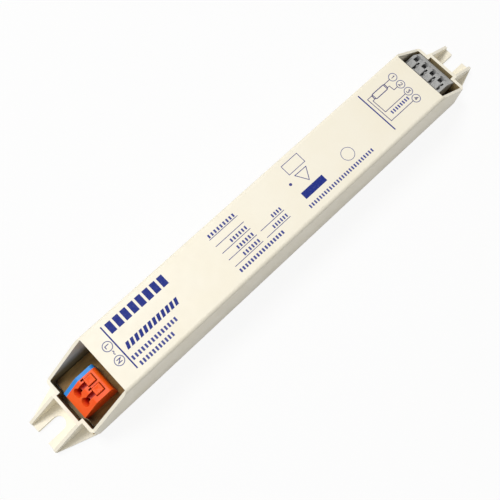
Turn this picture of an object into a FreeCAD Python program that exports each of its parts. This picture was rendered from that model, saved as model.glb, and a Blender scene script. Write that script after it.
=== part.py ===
import FreeCAD, Part
import math
import os

# Electronic ballast for slim fluorescent lamps, in millimetres.
# X runs from the mains end (-X) to the lamp end (+X), Z is up, and the
# origin is the middle of the underside.

# Housing
WALL = 1.0
PLATE_THICKNESS = 1.2         # closed top between the two terminal openings
HEADROOM = 1.2                # under the plate, above the tallest board part
SIDE_GAP = 1.3                # side walls to the widest board part
LIP_HEIGHT = 9.1              # low end wall in front of each terminal
EDGE_RADIUS = 1.2             # long top edges
CORNER_RADIUS = 1.4           # upright outer corners
HOLD_DOWN_DEPTH = 0.8         # ribs inside that keep the board down
HOLD_DOWN_WIDTH = 1.0
HOLD_DOWN_COUNT = 4           # on each side wall
HOLD_DOWN_MARGIN = 6.5        # from the ends of the closed top

# Mounting lugs
LUG_LENGTH = 11.6
LUG_THICKNESS = 1.5
JOG_DEPTH = 1.3               # the middle of the end wall stands out by this
JOG_HALF_WIDTH = 5.0          # inside
SLOT_WIDTH = 4.6              # takes an M4 screw
SLOT_MARGIN = 2.3             # from the end wall to the slot's round end
RIB_TIP_HEIGHT = 2.8
SHOULDER_INSET = 0.42         # lug's shoulder inside the body's side

# Base plate, sheet and circuit board
BASE_THICKNESS = 1.2
BASE_CLEARANCE = 0.1          # round the edge of the base plate
BEAD_RADIUS = 0.35            # snap beads on its long edges
BEAD_LENGTH = 10.0
BEAD_COUNT = 3
BEAD_MARGIN = 10.5
POST_WIDTH = 0.9
POST_LENGTH = 6.0
POST_INSET = 0.3
POST_COUNT = 5                # on each long side
POST_MARGIN = 6.4             # from the end walls
SHEET_THICKNESS = 0.25
SHEET_INSET = 2.0             # from the end walls
SHEET_CLEARANCE = 0.3         # beside the posts
UNDER_BOARD = 1.9             # room for the leads
BOARD_THICKNESS = 1.5
BOARD_CLEARANCE = 0.3         # board edge to the side walls
BOARD_END_CLEARANCE = 0.6
LEAD_WIDTH = 0.6              # square component leads
LEAD_CLEARANCE = 0.15
LEAD_ROOT = 1.0               # how far a lead reaches into its part
TAIL_LENGTH = 1.1             # leads below the board

# Terminals
POLE_PITCH = 3.5
MAINS_POLES = 2
LAMP_POLES = 4
TERMINAL_DEPTH = 11.6
TERMINAL_HEIGHT = 9.6         # above the board
TERMINAL_FLOOR = 1.2
FRONT_FACE_HEIGHT = 4.6       # upright part of the front
SLANT_RUN = 5.4               # the slanted entry face, seen from above
REAR_RADIUS = 1.3
BEND_RADIUS = 0.8
MAINS_GAP = 0.6               # in front of the terminal
LAMP_GAP = 0.3
REAR_GAP = 2.2                # between the mains terminal and the closed top
END_WALL = 1.0                # solid wall beside the last pole
PLATE_SIDE_WALL = 0.30
MAINS_FIRST_POLE_Y = 0.70
LAMP_SIDE_GAP = 1.2           # lamp terminal to the side wall
END_PLATE_THICKNESS = 1.2
ENTRY_SETBACK = 3.2           # centre of a wire funnel behind the front
FUNNEL_RADIUS = 1.45
FUNNEL_DEPTH = 1.2
WIRE_RADIUS = 1.0
WIRE_DEPTH = 2.6              # end of the round hole
POCKET_HALF = 1.3             # square pocket from there to the clamp
POCKET_END = 5.2
KEY_WIDTH = 1.5               # slot from the funnel to the button
KEY_DEPTH = 2.2
NOTCH_LENGTH = 1.0            # open corner beside each button
NOTCH_SHIFT = 0.15            # its middle in front of the button's shaft
NOTCH_WIDTH = 0.55
NOTCH_DEPTH = 1.6
TEST_SLOT_LENGTH = 1.2
TEST_SLOT_SHIFT = 0.2         # its middle behind the button's centre
TEST_SLOT_WIDTH = 0.4
SLOT_WALL = 0.05              # to the button's shaft

# Push-buttons
BUTTON_SETBACK = 8.3          # centre of a button behind the front
BUTTON_LENGTH = 2.8
BUTTON_WIDTH = 2.5
BUTTON_PROUD = 0.7            # above the terminal's top at rest
BUTTON_TRAVEL = 1.2
BUTTON_CLEARANCE = 0.15
BUTTON_CHAMFER = 0.2
DIMPLE_RIM = 0.4              # round the shallow hollow for a screwdriver's tip
DIMPLE_DEPTH = 0.2
DIMPLE_TIP_SHARE = 0.02       # the hollow narrows to this share of its rim
FOOT_REACH = 0.45             # the foot stands out by this at both ends
FOOT_HEIGHT = 0.6
ROOF = 2.3                    # terminal top above the clamp chamber
SEAT_CLEARANCE = 0.05         # between foot, roof and spring at rest

# Clamp springs and contacts
STRIP = 0.35
SPRING_WIDTH = 1.9
SPRING_LENGTH = 2.9           # of the loop
SPRING_SETBACK = 0.2          # loop's rear end from the foot's rear end
SPRING_BEND = 1.2
EDGE_REACH = 1.1              # clamping edge beyond the loop
EDGE_DROP = 1.9
EDGE_SETBACK = 0.245          # inside of the bend, behind the loop's end
CHAMBER_FRONT = 0.7           # chamber beyond the button's foot
CHAMBER_REAR_WALL = 0.8
CONTACT_WIDTH = 1.7
CONTACT_END = 0.5             # bar beyond its pins
PIN_WIDTH = 0.8
PIN_LENGTH = 0.6
PIN_CLEARANCE = 0.15
REAR_PIN = -1.2               # pins' places from the button's centre
FRONT_PIN = 2.0

# Parts on the board, in a row from the mains end
PART_GAP = 1.8                # between neighbours
ROW_END_GAP = 0.7             # from the first and last part to the openings
PACKAGE_LIFT = 0.4
PACKAGE_PITCH = 2.54
PACKAGE_FOOT = 0.7            # width of a pin beside its package
PACKAGE_PIN_LENGTH = 0.9      # of a pin along its package
FUSE_RADIUS = 4.0
FUSE_HEIGHT = 7.7
FUSE_LEAD_SPAN = 5.08
VARISTOR_RADIUS = 4.6
VARISTOR_THICKNESS = 3.6
THERMISTOR_RADIUS = 4.0
THERMISTOR_THICKNESS = 3.2
DISC_LEAD_SPAN = 5.0
SUPPRESSION_LENGTH = 13.0
SUPPRESSION_WIDTH = 6.0
SUPPRESSION_HEIGHT = 12.0
COUPLING_LENGTH = 10.0
COUPLING_WIDTH = 5.0
COUPLING_HEIGHT = 11.0
RESONANT_LENGTH = 10.0
RESONANT_WIDTH = 5.0
RESONANT_HEIGHT = 12.0
CASE_LEAD_INSET = 1.5
RECTIFIER_LENGTH = 8.4
RECTIFIER_WIDTH = 5.6
RECTIFIER_HEIGHT = 3.2
RECTIFIER_COLUMNS = 2
CHIP_LENGTH = 9.6
CHIP_WIDTH = 6.2
CHIP_HEIGHT = 3.3
CHIP_COLUMNS = 4              # pins on each long side

# Smoothing capacitor, lying along the board
CAN_RADIUS = 6.1
CAN_LENGTH = 21.5
SLEEVE_WALL = 0.15
SLEEVE_START = 3.6
SLEEVE_SETBACK = 0.4
GROOVE_START = 1.8
GROOVE_WIDTH = 1.2
GROOVE_DEPTH = 0.5
SEAL_DEPTH = 1.6
SEAL_RIM = 0.9
CAN_LEAD_REACH = 1.4
CAN_LEAD_SPAN = 5.0

# Chokes: coils on moulded formers, with two-piece ferrite cores
FORMER_WALL = 0.8
CORE_CLEARANCE = 0.1
COIL_INSET = 0.5              # coil below the flange's edge
LAMP_COIL_SIDE_INSET = 0.2    # beside the outer legs
LINE_COIL_HALF = 6.4          # half the line choke's former
LINE_FLANGE = 10.4
LINE_LEG = 4.0
LINE_YOKE = 3.0
LINE_TUBE_WALL = 0.7
LINE_CORE_LIFT = 0.1          # core over the flanges
LAMP_COIL_HALF = 7.0
LAMP_FLANGE_WIDTH = 10.8
LAMP_FLANGE_HEIGHT = 13.0
LAMP_LEG_WIDTH = 4.4
LAMP_LEG_HEIGHT = 6.0
LAMP_YOKE = 3.0
LAMP_OUTER_LEG = 2.6
LAMP_WINDOW_GAP = 0.2         # coil flange to the outer legs
LAMP_AIR_GAP = 0.3
LAMP_TUBE_WALL = 0.7
COIL_RADIUS = 1.2
CHOKE_PIN_Y = 4.4

# Heat spreader with two transistors and their clip
SPREADER_LENGTH = 12.0
SPREADER_THICKNESS = 1.0
SPREADER_HEIGHT = 13.2
SPREADER_TAG = 1.2
SPREADER_TAG_SPAN = 9.2
TRANSISTOR_WIDTH = 7.8
TRANSISTOR_HEIGHT = 10.6
TRANSISTOR_THICKNESS = 2.7
TRANSISTOR_LIFT = 2.2
TRANSISTOR_HOLE_RADIUS = 1.55
TRANSISTOR_HOLE_HEIGHT = 7.2
TRANSISTOR_LEAD_PITCH = 2.29
CLIP_WIDTH = 3.8
CLIP_THICKNESS = 0.5
CLIP_DROP = 8.2
CLIP_BEND = 0.45

BOARD_UNDERSIDE = BASE_THICKNESS + UNDER_BOARD
BOARD_TOP = BOARD_UNDERSIDE + BOARD_THICKNESS
TAIL_END = BOARD_UNDERSIDE - TAIL_LENGTH

LINE_CORE_TOP = LINE_FLANGE / 2 + CORE_CLEARANCE           # yoke's underside over the coil's axis
LINE_COIL = LINE_FLANGE - 2 * COIL_INSET
LINE_CHOKE_HEIGHT = LINE_FLANGE / 2 + LINE_CORE_TOP + LINE_LEG
LINE_CHOKE_LENGTH = 2 * (LINE_COIL_HALF + 2 * CORE_CLEARANCE + LINE_YOKE)
LAMP_COIL_WIDTH = LAMP_FLANGE_WIDTH - 2 * LAMP_COIL_SIDE_INSET
LAMP_COIL_HEIGHT = LAMP_FLANGE_HEIGHT - 2 * COIL_INSET
LAMP_CORE_HALF = LAMP_FLANGE_WIDTH / 2 + LAMP_WINDOW_GAP + LAMP_OUTER_LEG
LAMP_CHOKE_LENGTH = 2 * (LAMP_COIL_HALF + 2 * CORE_CLEARANCE + LAMP_YOKE)
TALLEST = max(
    LINE_CHOKE_HEIGHT,
    LAMP_FLANGE_HEIGHT,
    SPREADER_HEIGHT + CLIP_THICKNESS,
    2 * (CAN_RADIUS + SLEEVE_WALL),
    SUPPRESSION_HEIGHT,
    COUPLING_HEIGHT,
    RESONANT_HEIGHT,
    FUSE_HEIGHT,
    2 * VARISTOR_RADIUS,
    2 * THERMISTOR_RADIUS,
    TERMINAL_HEIGHT + BUTTON_PROUD,
)
ROW = (
    ("fuse", 2 * max(FUSE_RADIUS, VARISTOR_RADIUS)),
    ("line_choke", LINE_CHOKE_LENGTH),
    ("filter", max(SUPPRESSION_LENGTH, RECTIFIER_LENGTH)),
    ("smoothing", CAN_LENGTH + CAN_LEAD_REACH + LEAD_WIDTH / 2),
    ("driver", max(COUPLING_LENGTH, CHIP_LENGTH)),
    ("spreader", SPREADER_LENGTH),
    ("lamp_choke", LAMP_CHOKE_LENGTH),
    ("resonant", max(RESONANT_LENGTH, 2 * THERMISTOR_RADIUS)),
)

PLATE_LENGTH = sum(length for name, length in ROW) + PART_GAP * (len(ROW) - 1) + 2 * ROW_END_GAP
MOUTH_LENGTH = MAINS_GAP + TERMINAL_DEPTH + REAR_GAP       # open top over each terminal
LENGTH_TO_WALL = PLATE_LENGTH / 2 + MOUTH_LENGTH           # inner face of an end wall
OUTER_END = LENGTH_TO_WALL + WALL
HALF_LENGTH = OUTER_END + LUG_LENGTH
SLOT_CENTRE = OUTER_END + JOG_DEPTH + SLOT_MARGIN + SLOT_WIDTH / 2
LAMP_TERMINAL_WIDTH = LAMP_POLES * POLE_PITCH + END_WALL
INNER_HALF = max(LAMP_CORE_HALF + SIDE_GAP, LAMP_TERMINAL_WIDTH / 2 + LAMP_SIDE_GAP)
HALF_WIDTH = INNER_HALF + WALL
PLATE_UNDERSIDE = BOARD_TOP + TALLEST + HEADROOM
BODY_HEIGHT = PLATE_UNDERSIDE + PLATE_THICKNESS
TERMINAL_TOP = BOARD_TOP + TERMINAL_HEIGHT
FLOOR = BOARD_TOP + TERMINAL_FLOOR                         # inside floor of a terminal
CHAMBER_ROOF = TERMINAL_TOP - ROOF
FOOT_LENGTH = BUTTON_LENGTH + 2 * FOOT_REACH
LAMP_FIRST_POLE_Y = INNER_HALF - LAMP_SIDE_GAP - POLE_PITCH / 2
OVERSHOOT = 1.0               # cutting shapes run past the faces by this


def vec(x, y, z):
    return FreeCAD.Vector(x, y, z)


def box(x0, x1, y0, y1, z0, z1):
    x0, x1 = sorted((x0, x1))
    y0, y1 = sorted((y0, y1))
    z0, z1 = sorted((z0, z1))
    return Part.makeBox(x1 - x0, y1 - y0, z1 - z0, vec(x0, y0, z0))


def block(x, y, length, width, z0, z1):
    """Box centred on x and y."""
    return box(x - length / 2, x + length / 2, y - width / 2, y + width / 2, z0, z1)


def rod(x, y, z0, z1, radius):
    return Part.makeCylinder(radius, z1 - z0, vec(x, y, z0), vec(0, 0, 1))


def profile_xz(points, y0, y1):
    """Extrude a closed outline in the XZ plane from y0 to y1."""
    loop = [vec(x, y0, z) for x, z in points]
    face = Part.Face(Part.makePolygon(loop + loop[:1]))
    return face.extrude(vec(0, y1 - y0, 0))


def profile_xy(points, z0, z1):
    """Extrude a closed outline in the XY plane from z0 to z1."""
    loop = [vec(x, y, z0) for x, y in points]
    face = Part.Face(Part.makePolygon(loop + loop[:1]))
    return face.extrude(vec(0, 0, z1 - z0))


def join(shapes):
    first, rest = shapes[0], shapes[1:]
    return first.fuse(rest).removeSplitter() if rest else first


def fillet_where(shape, radius, wanted):
    """Round the straight edges whose two ends both pass the test."""
    edges = []
    for edge in shape.Edges:
        if len(edge.Vertexes) != 2 or not isinstance(edge.Curve, Part.Line):
            continue
        a, b = edge.Vertexes[0].Point, edge.Vertexes[1].Point
        if wanted(a, b):
            edges.append(edge)
    return shape.makeFillet(radius, edges)


def near(a, b):
    return abs(a - b) < 1e-4


def upright(a, b):
    return near(a.x, b.x) and near(a.y, b.y)


def along_x(a, b):
    return near(a.y, b.y) and near(a.z, b.z)


def along_y(a, b):
    return near(a.x, b.x) and near(a.z, b.z)


def evenly(count, half_span):
    """Places from -half_span to half_span."""
    return [half_span * (2 * i / (count - 1) - 1) for i in range(count)]


def save(name, shape):
    shape = shape.removeSplitter()
    shape.exportStep(os.path.join("parts", name + ".step"))


# Housing: one moulding with the lugs

TIP_HALF = JOG_HALF_WIDTH + WALL


def rib_positions():
    return evenly(HOLD_DOWN_COUNT, PLATE_LENGTH / 2 - HOLD_DOWN_MARGIN)


def bead_positions():
    return evenly(BEAD_COUNT, PLATE_LENGTH / 2 - BEAD_MARGIN)


def post_positions():
    return evenly(POST_COUNT, LENGTH_TO_WALL - POST_MARGIN)


def make_lug(side):
    """Flat forked tab with two upright ribs that carry on from the end wall."""
    root = OUTER_END - CORNER_RADIUS
    shoulder = HALF_WIDTH - SHOULDER_INSET
    tab = profile_xy(
        [
            (side * root, -HALF_WIDTH),
            (side * OUTER_END, -shoulder),
            (side * HALF_LENGTH, -TIP_HALF),
            (side * HALF_LENGTH, TIP_HALF),
            (side * OUTER_END, shoulder),
            (side * root, HALF_WIDTH),
        ],
        0,
        LUG_THICKNESS,
    )
    rib = [
        (side * OUTER_END, 0),
        (side * HALF_LENGTH, 0),
        (side * HALF_LENGTH, RIB_TIP_HEIGHT),
        (side * (OUTER_END + JOG_DEPTH), LIP_HEIGHT),
        (side * OUTER_END, LIP_HEIGHT),
    ]
    return join([tab] + [profile_xz(rib, y * JOG_HALF_WIDTH, y * TIP_HALF) for y in (-1, 1)])


def make_slot(side):
    radius = SLOT_WIDTH / 2
    end = HALF_LENGTH + OVERSHOOT
    straight = box(side * SLOT_CENTRE, side * end, -radius, radius, -OVERSHOOT, BODY_HEIGHT)
    return straight.fuse(rod(side * SLOT_CENTRE, 0, -OVERSHOOT, BODY_HEIGHT, radius))


def make_housing():
    mouth_edge = PLATE_LENGTH / 2
    outline = [
        (-OUTER_END, 0),
        (OUTER_END, 0),
        (OUTER_END, LIP_HEIGHT),
        (LENGTH_TO_WALL, LIP_HEIGHT),
        (mouth_edge, BODY_HEIGHT),
        (-mouth_edge, BODY_HEIGHT),
        (-LENGTH_TO_WALL, LIP_HEIGHT),
        (-OUTER_END, LIP_HEIGHT),
    ]
    outer = box(-OUTER_END, OUTER_END, -HALF_WIDTH, HALF_WIDTH, 0, BODY_HEIGHT)
    outer = fillet_where(outer, CORNER_RADIUS, upright)
    outer = fillet_where(outer, EDGE_RADIUS, lambda a, b: along_x(a, b) and near(a.z, BODY_HEIGHT))
    pieces = [outer.common(profile_xz(outline, -HALF_WIDTH, HALF_WIDTH))]
    for side in (-1, 1):
        jog_outer = side * (OUTER_END + JOG_DEPTH)
        pieces.append(box(side * LENGTH_TO_WALL, jog_outer, -TIP_HALF, TIP_HALF, 0, LIP_HEIGHT))
        pieces.append(make_lug(side))
    solid = join(pieces)

    inner_radius = CORNER_RADIUS - WALL
    cavity = box(-LENGTH_TO_WALL, LENGTH_TO_WALL, -INNER_HALF, INNER_HALF, -OVERSHOOT, PLATE_UNDERSIDE)
    cuts = [fillet_where(cavity, inner_radius, upright)]
    for side in (-1, 1):
        mouth = box(
            side * mouth_edge, side * LENGTH_TO_WALL,
            -INNER_HALF, INNER_HALF, BOARD_TOP, BODY_HEIGHT + OVERSHOOT,
        )
        cuts.append(
            fillet_where(
                mouth, inner_radius, lambda a, b: upright(a, b) and near(abs(a.x), LENGTH_TO_WALL)
            )
        )
        jog_inner = side * (LENGTH_TO_WALL + JOG_DEPTH)
        cuts.append(
            box(side * mouth_edge, jog_inner, -JOG_HALF_WIDTH, JOG_HALF_WIDTH, -OVERSHOOT, PLATE_UNDERSIDE)
        )
        cuts.append(make_slot(side))
    solid = solid.cut(cuts)

    # hold-down ribs stop just above the board
    rib_top = PLATE_UNDERSIDE + PLATE_THICKNESS / 2
    ribs = []
    for x in rib_positions():
        for y in (-1, 1):
            edge = y * (INNER_HALF - HOLD_DOWN_DEPTH)
            root = y * (INNER_HALF + WALL / 2)
            half = HOLD_DOWN_WIDTH / 2
            ribs.append(box(x - half, x + half, edge, root, BOARD_TOP, rib_top))
    solid = join([solid] + ribs)

    # grooves for the beads of the base plate
    half_groove = BEAD_LENGTH / 2 + 2 * BASE_CLEARANCE
    grooves = []
    for x in bead_positions():
        for y in (-1, 1):
            start = vec(x - half_groove, y * (INNER_HALF - BASE_CLEARANCE), BASE_THICKNESS / 2)
            grooves.append(
                Part.makeCylinder(BEAD_RADIUS + BASE_CLEARANCE, 2 * half_groove, start, vec(1, 0, 0))
            )
    return solid.cut(grooves)


def make_base_plate():
    """Clip-in floor: snap beads on the long edges and posts under the board."""
    half_x = LENGTH_TO_WALL - BASE_CLEARANCE
    half_y = INNER_HALF - BASE_CLEARANCE
    plate = box(-half_x, half_x, -half_y, half_y, 0, BASE_THICKNESS)
    plate = fillet_where(plate, CORNER_RADIUS - WALL, upright)
    tongue_x = half_x + JOG_DEPTH
    tongue_y = JOG_HALF_WIDTH - BASE_CLEARANCE
    pieces = [plate, box(-tongue_x, tongue_x, -tongue_y, tongue_y, 0, BASE_THICKNESS)]
    for x in bead_positions():
        for y in (-1, 1):
            start = vec(x - BEAD_LENGTH / 2, y * half_y, BASE_THICKNESS / 2)
            pieces.append(Part.makeCylinder(BEAD_RADIUS, BEAD_LENGTH, start, vec(1, 0, 0)))
    outer = half_y - POST_INSET
    for x in post_positions():
        for y in (-1, 1):
            middle = y * (outer - POST_WIDTH / 2)
            pieces.append(block(x, middle, POST_LENGTH, POST_WIDTH, 0, BOARD_UNDERSIDE))
    return join(pieces)


def make_insulating_sheet():
    half_y = INNER_HALF - BASE_CLEARANCE - POST_INSET - POST_WIDTH - SHEET_CLEARANCE
    half_x = LENGTH_TO_WALL - SHEET_INSET
    return box(-half_x, half_x, -half_y, half_y, BASE_THICKNESS, BASE_THICKNESS + SHEET_THICKNESS)


# Terminals: the mains one faces -X and the lamp one +X


class Terminal:
    """Places of one terminal. Distances are measured outward from the middle."""

    def __init__(self, name, side, gap, first_pole_y, pole_count):
        self.name = name
        self.side = side
        self.front = LENGTH_TO_WALL - gap
        self.rear = self.front - TERMINAL_DEPTH
        self.bend = self.front - SLANT_RUN
        self.button = self.front - BUTTON_SETBACK
        self.entry = self.front - ENTRY_SETBACK
        self.poles = [first_pole_y - i * POLE_PITCH for i in range(pole_count)]
        self.low = self.poles[-1] - POLE_PITCH / 2 - END_WALL
        self.pins = [self.button + REAR_PIN, self.button + FRONT_PIN]


MAINS = Terminal("mains", -1, MAINS_GAP, MAINS_FIRST_POLE_Y, MAINS_POLES)
LAMP = Terminal("lamp", 1, LAMP_GAP, LAMP_FIRST_POLE_Y, LAMP_POLES)

HALF_SHAFT = BUTTON_LENGTH / 2 + BUTTON_CLEARANCE
SHAFT_HALF_Y = BUTTON_WIDTH / 2 + BUTTON_CLEARANCE


def entry_frame(unit, y):
    """Centre of a wire funnel on the slanted face, and the way in."""
    rise = TERMINAL_HEIGHT - FRONT_FACE_HEIGHT
    size = math.hypot(SLANT_RUN, rise)
    z = BOARD_TOP + FRONT_FACE_HEIGHT + ENTRY_SETBACK / SLANT_RUN * rise
    inward = vec(-unit.side * rise / size, 0, -SLANT_RUN / size)
    return vec(unit.side * unit.entry, y, z), inward


def make_terminal_outline(unit, y0, y1):
    """Side profile shared by the terminal bodies and the coloured end plate."""
    front = unit.side * unit.front
    rear = unit.side * unit.rear
    bend = unit.side * unit.bend
    outline = [
        (front, BOARD_TOP),
        (front, BOARD_TOP + FRONT_FACE_HEIGHT),
        (bend, TERMINAL_TOP),
        (rear, TERMINAL_TOP),
        (rear, BOARD_TOP),
    ]
    shape = profile_xz(outline, y0, y1)
    for x, radius in ((rear, REAR_RADIUS), (bend, BEND_RADIUS)):
        shape = fillet_where(
            shape, radius, lambda a, b: along_y(a, b) and near(a.x, x) and near(a.z, TERMINAL_TOP)
        )
    return shape


def make_terminal_body(unit, high, with_test_slots):
    side = unit.side
    above = TERMINAL_TOP + OVERSHOOT
    cuts = []
    for y in unit.poles:
        shaft_front = unit.button + HALF_SHAFT
        cuts.append(
            box(
                side * (unit.button - HALF_SHAFT), side * shaft_front,
                y - SHAFT_HALF_Y, y + SHAFT_HALF_Y, FLOOR, above,
            )
        )
        cuts.append(
            box(
                side * (unit.rear + CHAMBER_REAR_WALL),
                side * (unit.button + FOOT_LENGTH / 2 + CHAMBER_FRONT),
                y - SHAFT_HALF_Y, y + SHAFT_HALF_Y, FLOOR, CHAMBER_ROOF,
            )
        )
        centre, inward = entry_frame(unit, y)
        slope = (FUNNEL_RADIUS - WIRE_RADIUS) / FUNNEL_DEPTH
        cone_start = centre - inward * OVERSHOOT
        cone_radius = FUNNEL_RADIUS + slope * OVERSHOOT
        cuts.append(Part.makeCone(cone_radius, WIRE_RADIUS, FUNNEL_DEPTH + OVERSHOOT, cone_start, inward))
        cuts.append(Part.makeCylinder(WIRE_RADIUS, WIRE_DEPTH + OVERSHOOT, centre, inward))
        pocket = box(-POCKET_HALF, POCKET_HALF, -SHAFT_HALF_Y, SHAFT_HALF_Y, WIRE_DEPTH, POCKET_END)
        pocket.Placement = FreeCAD.Placement(centre, FreeCAD.Rotation(vec(0, 0, 1), inward))
        cuts.append(pocket)
        cuts.append(
            box(
                side * shaft_front, side * unit.entry,
                y - KEY_WIDTH / 2, y + KEY_WIDTH / 2, TERMINAL_TOP - KEY_DEPTH, above,
            )
        )
        # each pole's notch and test slot lie on its left, seen from the wires
        left = y - side * SHAFT_HALF_Y
        notch_x = shaft_front + NOTCH_SHIFT
        notch_y = left - side * (NOTCH_WIDTH / 2 - BUTTON_CLEARANCE)
        notch_floor = TERMINAL_TOP - NOTCH_DEPTH
        cuts.append(block(side * notch_x, notch_y, NOTCH_LENGTH, NOTCH_WIDTH, notch_floor, above))
        if with_test_slots:
            slot_x = unit.button - TEST_SLOT_SHIFT
            slot_y = left - side * (TEST_SLOT_WIDTH / 2 + SLOT_WALL)
            cuts.append(block(side * slot_x, slot_y, TEST_SLOT_LENGTH, TEST_SLOT_WIDTH, notch_floor, above))
        for pin in unit.pins:
            cuts.append(
                block(
                    side * pin, y, PIN_LENGTH + 2 * PIN_CLEARANCE, PIN_WIDTH + 2 * PIN_CLEARANCE,
                    BOARD_TOP - OVERSHOOT, FLOOR,
                )
            )
    body = make_terminal_outline(unit, unit.low, high)
    return body.cut(cuts)


def make_button(unit, y):
    """Square cap on a shank, with a foot that keeps it in the terminal."""
    x = unit.side * unit.button
    top = TERMINAL_TOP + BUTTON_PROUD
    foot_top = CHAMBER_ROOF - SEAT_CLEARANCE
    cap = block(x, y, BUTTON_LENGTH, BUTTON_WIDTH, foot_top - FOOT_HEIGHT, top)
    cap = cap.makeChamfer(BUTTON_CHAMFER, [e for e in cap.Edges if all(near(v.Z, top) for v in e.Vertexes)])
    half_x = BUTTON_LENGTH / 2 - DIMPLE_RIM
    half_y = BUTTON_WIDTH / 2 - DIMPLE_RIM
    tip = half_x * DIMPLE_TIP_SHARE
    dimple = Part.makeWedge(-half_x, 0, -half_y, -tip, -tip, half_x, DIMPLE_DEPTH, half_y, tip, tip)
    dimple.rotate(vec(0, 0, 0), vec(1, 0, 0), -90)
    dimple.translate(vec(x, y, top))
    foot = block(x, y, FOOT_LENGTH, BUTTON_WIDTH, foot_top - FOOT_HEIGHT, foot_top)
    return join([cap.cut(dimple), foot])


def make_clamp_spring(unit, y):
    """Bent strip: foot on the contact bar, loop at the rear, arm under the button."""
    side = unit.side
    low = FLOOR + STRIP
    high = CHAMBER_ROOF - FOOT_HEIGHT - 2 * SEAT_CLEARANCE
    rear = unit.button - FOOT_LENGTH / 2 + SPRING_SETBACK
    front = rear + SPRING_LENGTH
    half = SPRING_WIDTH / 2

    def at_rear(x):
        return lambda a, b: along_y(a, b) and near(abs(a.x), x)

    outer = box(side * rear, side * front, y - half, y + half, low, high)
    outer = fillet_where(outer, SPRING_BEND, at_rear(rear))
    inner = box(
        side * (rear + STRIP), side * (front + OVERSHOOT),
        y - half - OVERSHOOT, y + half + OVERSHOOT, low + STRIP, high - STRIP,
    )
    inner = fillet_where(inner, SPRING_BEND - STRIP, at_rear(rear + STRIP))
    edge = profile_xz(
        [
            (side * (front - 2 * STRIP), high),
            (side * front, high),
            (side * (front + EDGE_REACH), high - EDGE_DROP),
            (side * (front + EDGE_REACH - STRIP), high - EDGE_DROP - STRIP / 2),
            (side * (front - EDGE_SETBACK), high - STRIP),
            (side * (front - 2 * STRIP), high - STRIP),
        ],
        y - half,
        y + half,
    )
    return join([outer.cut(inner), edge])


def make_contact(unit, y):
    """Contact bar on the terminal's floor with two pins through the board."""
    first, second = unit.pins
    half = CONTACT_WIDTH / 2
    strip = box(
        unit.side * (first - CONTACT_END), unit.side * (second + CONTACT_END),
        y - half, y + half, FLOOR, FLOOR + STRIP,
    )
    pin_top = FLOOR + STRIP / 2
    pins = [block(unit.side * pin, y, PIN_LENGTH, PIN_WIDTH, TAIL_END, pin_top) for pin in unit.pins]
    return join([strip] + pins)


# Parts on the board: each function returns its solids and records its leads

LEADS = []


def lead(x, y, top):
    """Upright square lead that ends below the board."""
    LEADS.append((x, y))
    return block(x, y, LEAD_WIDTH, LEAD_WIDTH, TAIL_END, top)


def row_places():
    """Middle of each part of the row along X."""
    places = {}
    x = -PLATE_LENGTH / 2 + ROW_END_GAP
    for name, length in ROW:
        places[name] = x + length / 2
        x += length + PART_GAP
    return places


def beside(side, width):
    """Middle of a part of this width that stands next to a side wall."""
    return side * (INNER_HALF - SIDE_GAP - width / 2)


def make_fuse(x):
    y = beside(1, 2 * FUSE_RADIUS)
    body = rod(x, y, BOARD_TOP, BOARD_TOP + FUSE_HEIGHT, FUSE_RADIUS)
    reach = FUSE_LEAD_SPAN / 2
    return join([body] + [lead(x + dx, y, BOARD_TOP + LEAD_ROOT) for dx in (-reach, reach)])


def make_disc(x, radius, thickness):
    """Lacquered disc that stands on its edge beside the -Y wall."""
    y = beside(-1, thickness)
    centre = vec(x, y - thickness / 2, BOARD_TOP + radius)
    disc = Part.makeCylinder(radius, thickness, centre, vec(0, 1, 0))
    leads = [lead(x + dx, y, BOARD_TOP + radius) for dx in (-DISC_LEAD_SPAN / 2, DISC_LEAD_SPAN / 2)]
    return join([disc] + leads)


def make_film_capacitor(x, length, width, height):
    y = beside(1, width)
    body = block(x, y, length, width, BOARD_TOP, BOARD_TOP + height)
    reach = length / 2 - CASE_LEAD_INSET
    return join([body] + [lead(x + dx, y, BOARD_TOP + LEAD_ROOT) for dx in (-reach, reach)])


def make_flat_package(x, length, width, height, columns, pitch):
    """Moulded package with a row of pins on each long side."""
    y = beside(-1, width + 2 * PACKAGE_FOOT)
    low = BOARD_TOP + PACKAGE_LIFT
    pieces = [block(x, y, length, width, low, low + height)]
    for i in range(columns):
        px = x + pitch * (i - (columns - 1) / 2)
        for row in (-1, 1):
            py = y + row * width / 2
            pieces.append(block(px, py, PACKAGE_PIN_LENGTH, PACKAGE_FOOT, BOARD_TOP, low + height / 2))
            pieces.append(lead(px, py, BOARD_TOP + PACKAGE_LIFT))
    return join(pieces)


def make_former(half, axis_z, tube, bore, flange, walls):
    """Moulded former: a tube along X with flanges, open for the core's leg."""
    pieces = [block(0, 0, 2 * half, tube[0], axis_z - tube[1] / 2, axis_z + tube[1] / 2)]
    for x in walls:
        pieces.append(
            box(
                x, x + FORMER_WALL, -flange[0] / 2, flange[0] / 2,
                axis_z - flange[1] / 2, axis_z + flange[1] / 2,
            )
        )
    hole = block(0, 0, 2 * half + 2 * OVERSHOOT, bore[0], axis_z - bore[1] / 2, axis_z + bore[1] / 2)
    return join(pieces).cut(hole)


def make_winding(x0, x1, axis_z, tube, coil):
    outer = box(x0, x1, -coil[0] / 2, coil[0] / 2, axis_z - coil[1] / 2, axis_z + coil[1] / 2)
    outer = fillet_where(outer, COIL_RADIUS, along_x)
    return outer.cut(
        box(
            x0 - OVERSHOOT, x1 + OVERSHOOT, -tube[0] / 2, tube[0] / 2,
            axis_z - tube[1] / 2, axis_z + tube[1] / 2,
        )
    )


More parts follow.
